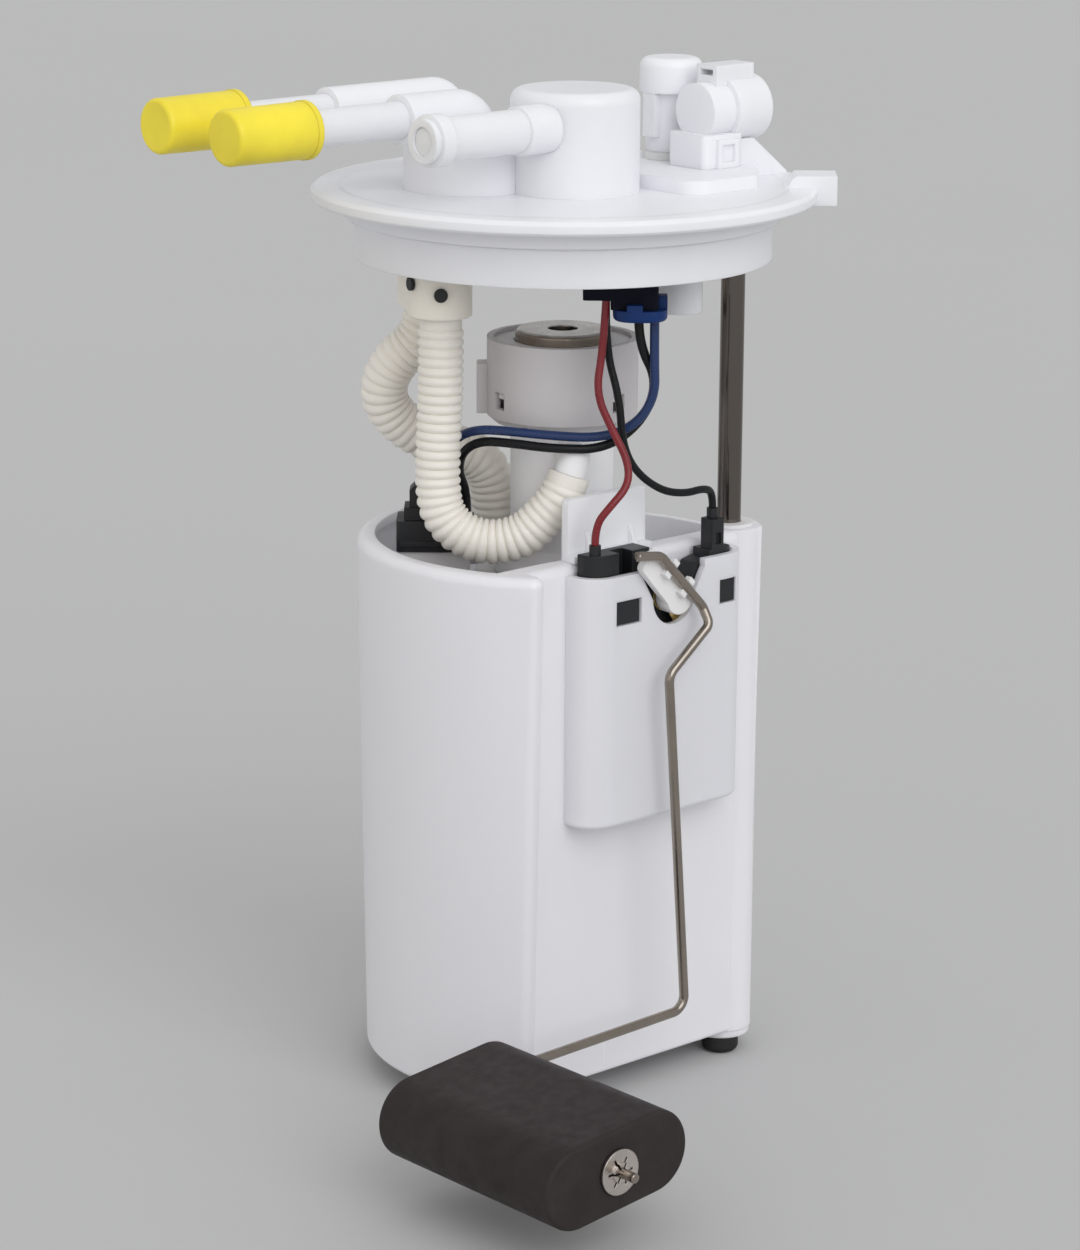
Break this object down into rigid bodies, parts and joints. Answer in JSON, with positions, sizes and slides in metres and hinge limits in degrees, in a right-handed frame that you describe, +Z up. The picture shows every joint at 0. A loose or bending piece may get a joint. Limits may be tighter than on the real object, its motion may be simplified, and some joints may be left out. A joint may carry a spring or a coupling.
{
  "type": "fuel pump module",
  "caption": "In-tank fuel pump module: round cover with fuel pipes, a sprung reservoir on guide rods with pump and regulator, and a level sender with its float.",
  "frame": {"origin": "on the cover's axis in the sealing plane, the underside of the cover's rim", "axes": "+Z up towards the fuel pipes, -Y out of the level sender's flat face, +X to the right seen from that side, with the fuel pipes leaving along -X"},
  "size_m": [0.1685, 0.1827, 0.2686],
  "materials": {
    "cover_plastic": "satin, slightly see-through",
    "reservoir_plastic": "satin, milky",
    "inner_plastic": "satin",
    "cap_plastic": "soft, matt",
    "hose_nylon": "matt, ribbed",
    "black_plastic": "matt",
    "blue_plastic": "matt",
    "seal_rubber": "matt",
    "float_foam": "fine grained, matt",
    "rod_steel": "ground, bright",
    "spring_steel": "drawn wire",
    "plated_steel": "plated",
    "contact_brass": "bright",
    "ceramic": "fired, printed",
    "magnet": "dark, pressed",
    "motor_copper": "wound wire and steel stack",
    "wire_red": "gloss insulation",
    "wire_black": "gloss insulation",
    "wire_blue": "gloss insulation",
    "strainer_cloth": "woven nylon"
  },
  "bodies": {
    "cover": {"cover_flange": "cover_plastic", "vent_valve_body": "inner_plastic", "vent_valve_spring": "spring_steel", "feed_pipe": "cover_plastic", "return_pipe": "cover_plastic", "vapour_nipple": "cover_plastic", "pressure_sensor": "cover_plastic", "sensor_grommet": "seal_rubber", "harness_connector": "cover_plastic", "harness_pins": "contact_brass", "tank_connector": "black_plastic", "connector_lock": "blue_plastic", "hose_adaptor": "hose_nylon", "adaptor_pins": "black_plastic", "guide_rod_right": "rod_steel", "guide_rod_rear": "rod_steel", "rod_rings": "spring_steel", "feed_hose": "hose_nylon", "return_hose": "hose_nylon", "pump_wire_blue": "wire_blue", "pump_wire_black": "wire_black", "sender_wire_red": "wire_red", "sender_wire_black": "wire_black"},
    "vent_float": {"vent_valve_float": "inner_plastic"},
    "feed_cap": {"feed_cap": "cap_plastic"},
    "return_cap": {"return_cap": "cap_plastic"},
    "reservoir": {"reservoir_can": "reservoir_plastic", "splash_shield": "cover_plastic", "guide_bushes": "inner_plastic", "guide_springs": "spring_steel", "rubber_feet": "seal_rubber", "inlet_valve": "seal_rubber", "regulator_housing": "inner_plastic", "regulator_retainer": "inner_plastic", "pressure_regulator": "plated_steel", "regulator_seal": "seal_rubber", "pump_can": "plated_steel", "pump_outlet_cover": "black_plastic", "pump_inlet_cover": "black_plastic", "pump_magnets": "magnet", "pump_isolator": "seal_rubber", "inlet_strainer": "strainer_cloth", "pump_cradle": "inner_plastic", "pump_connector": "black_plastic", "return_jet": "inner_plastic", "sensor_housing": "black_plastic", "resistor_card": "ceramic", "sensor_terminals": "black_plastic"},
    "pump_rotor": {"pump_armature": "motor_copper", "pump_impeller": "black_plastic"},
    "float_arm": {"sensor_rotor": "inner_plastic", "contact_wiper": "contact_brass", "float_arm": "spring_steel", "push_nut": "plated_steel"},
    "float": {"float_block": "float_foam"}
  },
  "joints": [
    {"name": "reservoir_slide", "type": "slide", "parent": "cover", "child": "reservoir", "axis": [0, 0, 1], "range_m": [0, 0.02], "stiffness_N_per_m": 300, "springref_m": -0.06, "deforming": ["guide_springs", "feed_hose", "return_hose", "pump_wire_blue", "pump_wire_black", "sender_wire_red", "sender_wire_black"]},
    {"name": "float_arm_swing", "type": "hinge", "parent": "reservoir", "child": "float_arm", "pos_m": [0.003, -0.037, -0.0985], "axis": [0, 1, 0], "range_deg": [0, 70]},
    {"name": "float_spin", "type": "hinge", "parent": "float_arm", "child": "float", "pos_m": [-0.0808, -0.078, -0.2116], "axis": [0, 1, 0], "continuous": true},
    {"name": "pump_spin", "type": "hinge", "parent": "reservoir", "child": "pump_rotor", "pos_m": [0, 0, -0.16], "axis": [0, 0, 1], "continuous": true},
    {"name": "vent_float_lift", "type": "slide", "parent": "cover", "child": "vent_float", "axis": [0, 0, 1], "range_m": [0, 0.003], "deforming": ["vent_valve_spring"]},
    {"name": "feed_cap_pull", "type": "slide", "parent": "cover", "child": "feed_cap", "axis": [-1, 0, 0], "range_m": [0, 0.03]},
    {"name": "return_cap_pull", "type": "slide", "parent": "cover", "child": "return_cap", "axis": [-1, 0, 0], "range_m": [0, 0.03]}
  ]
}
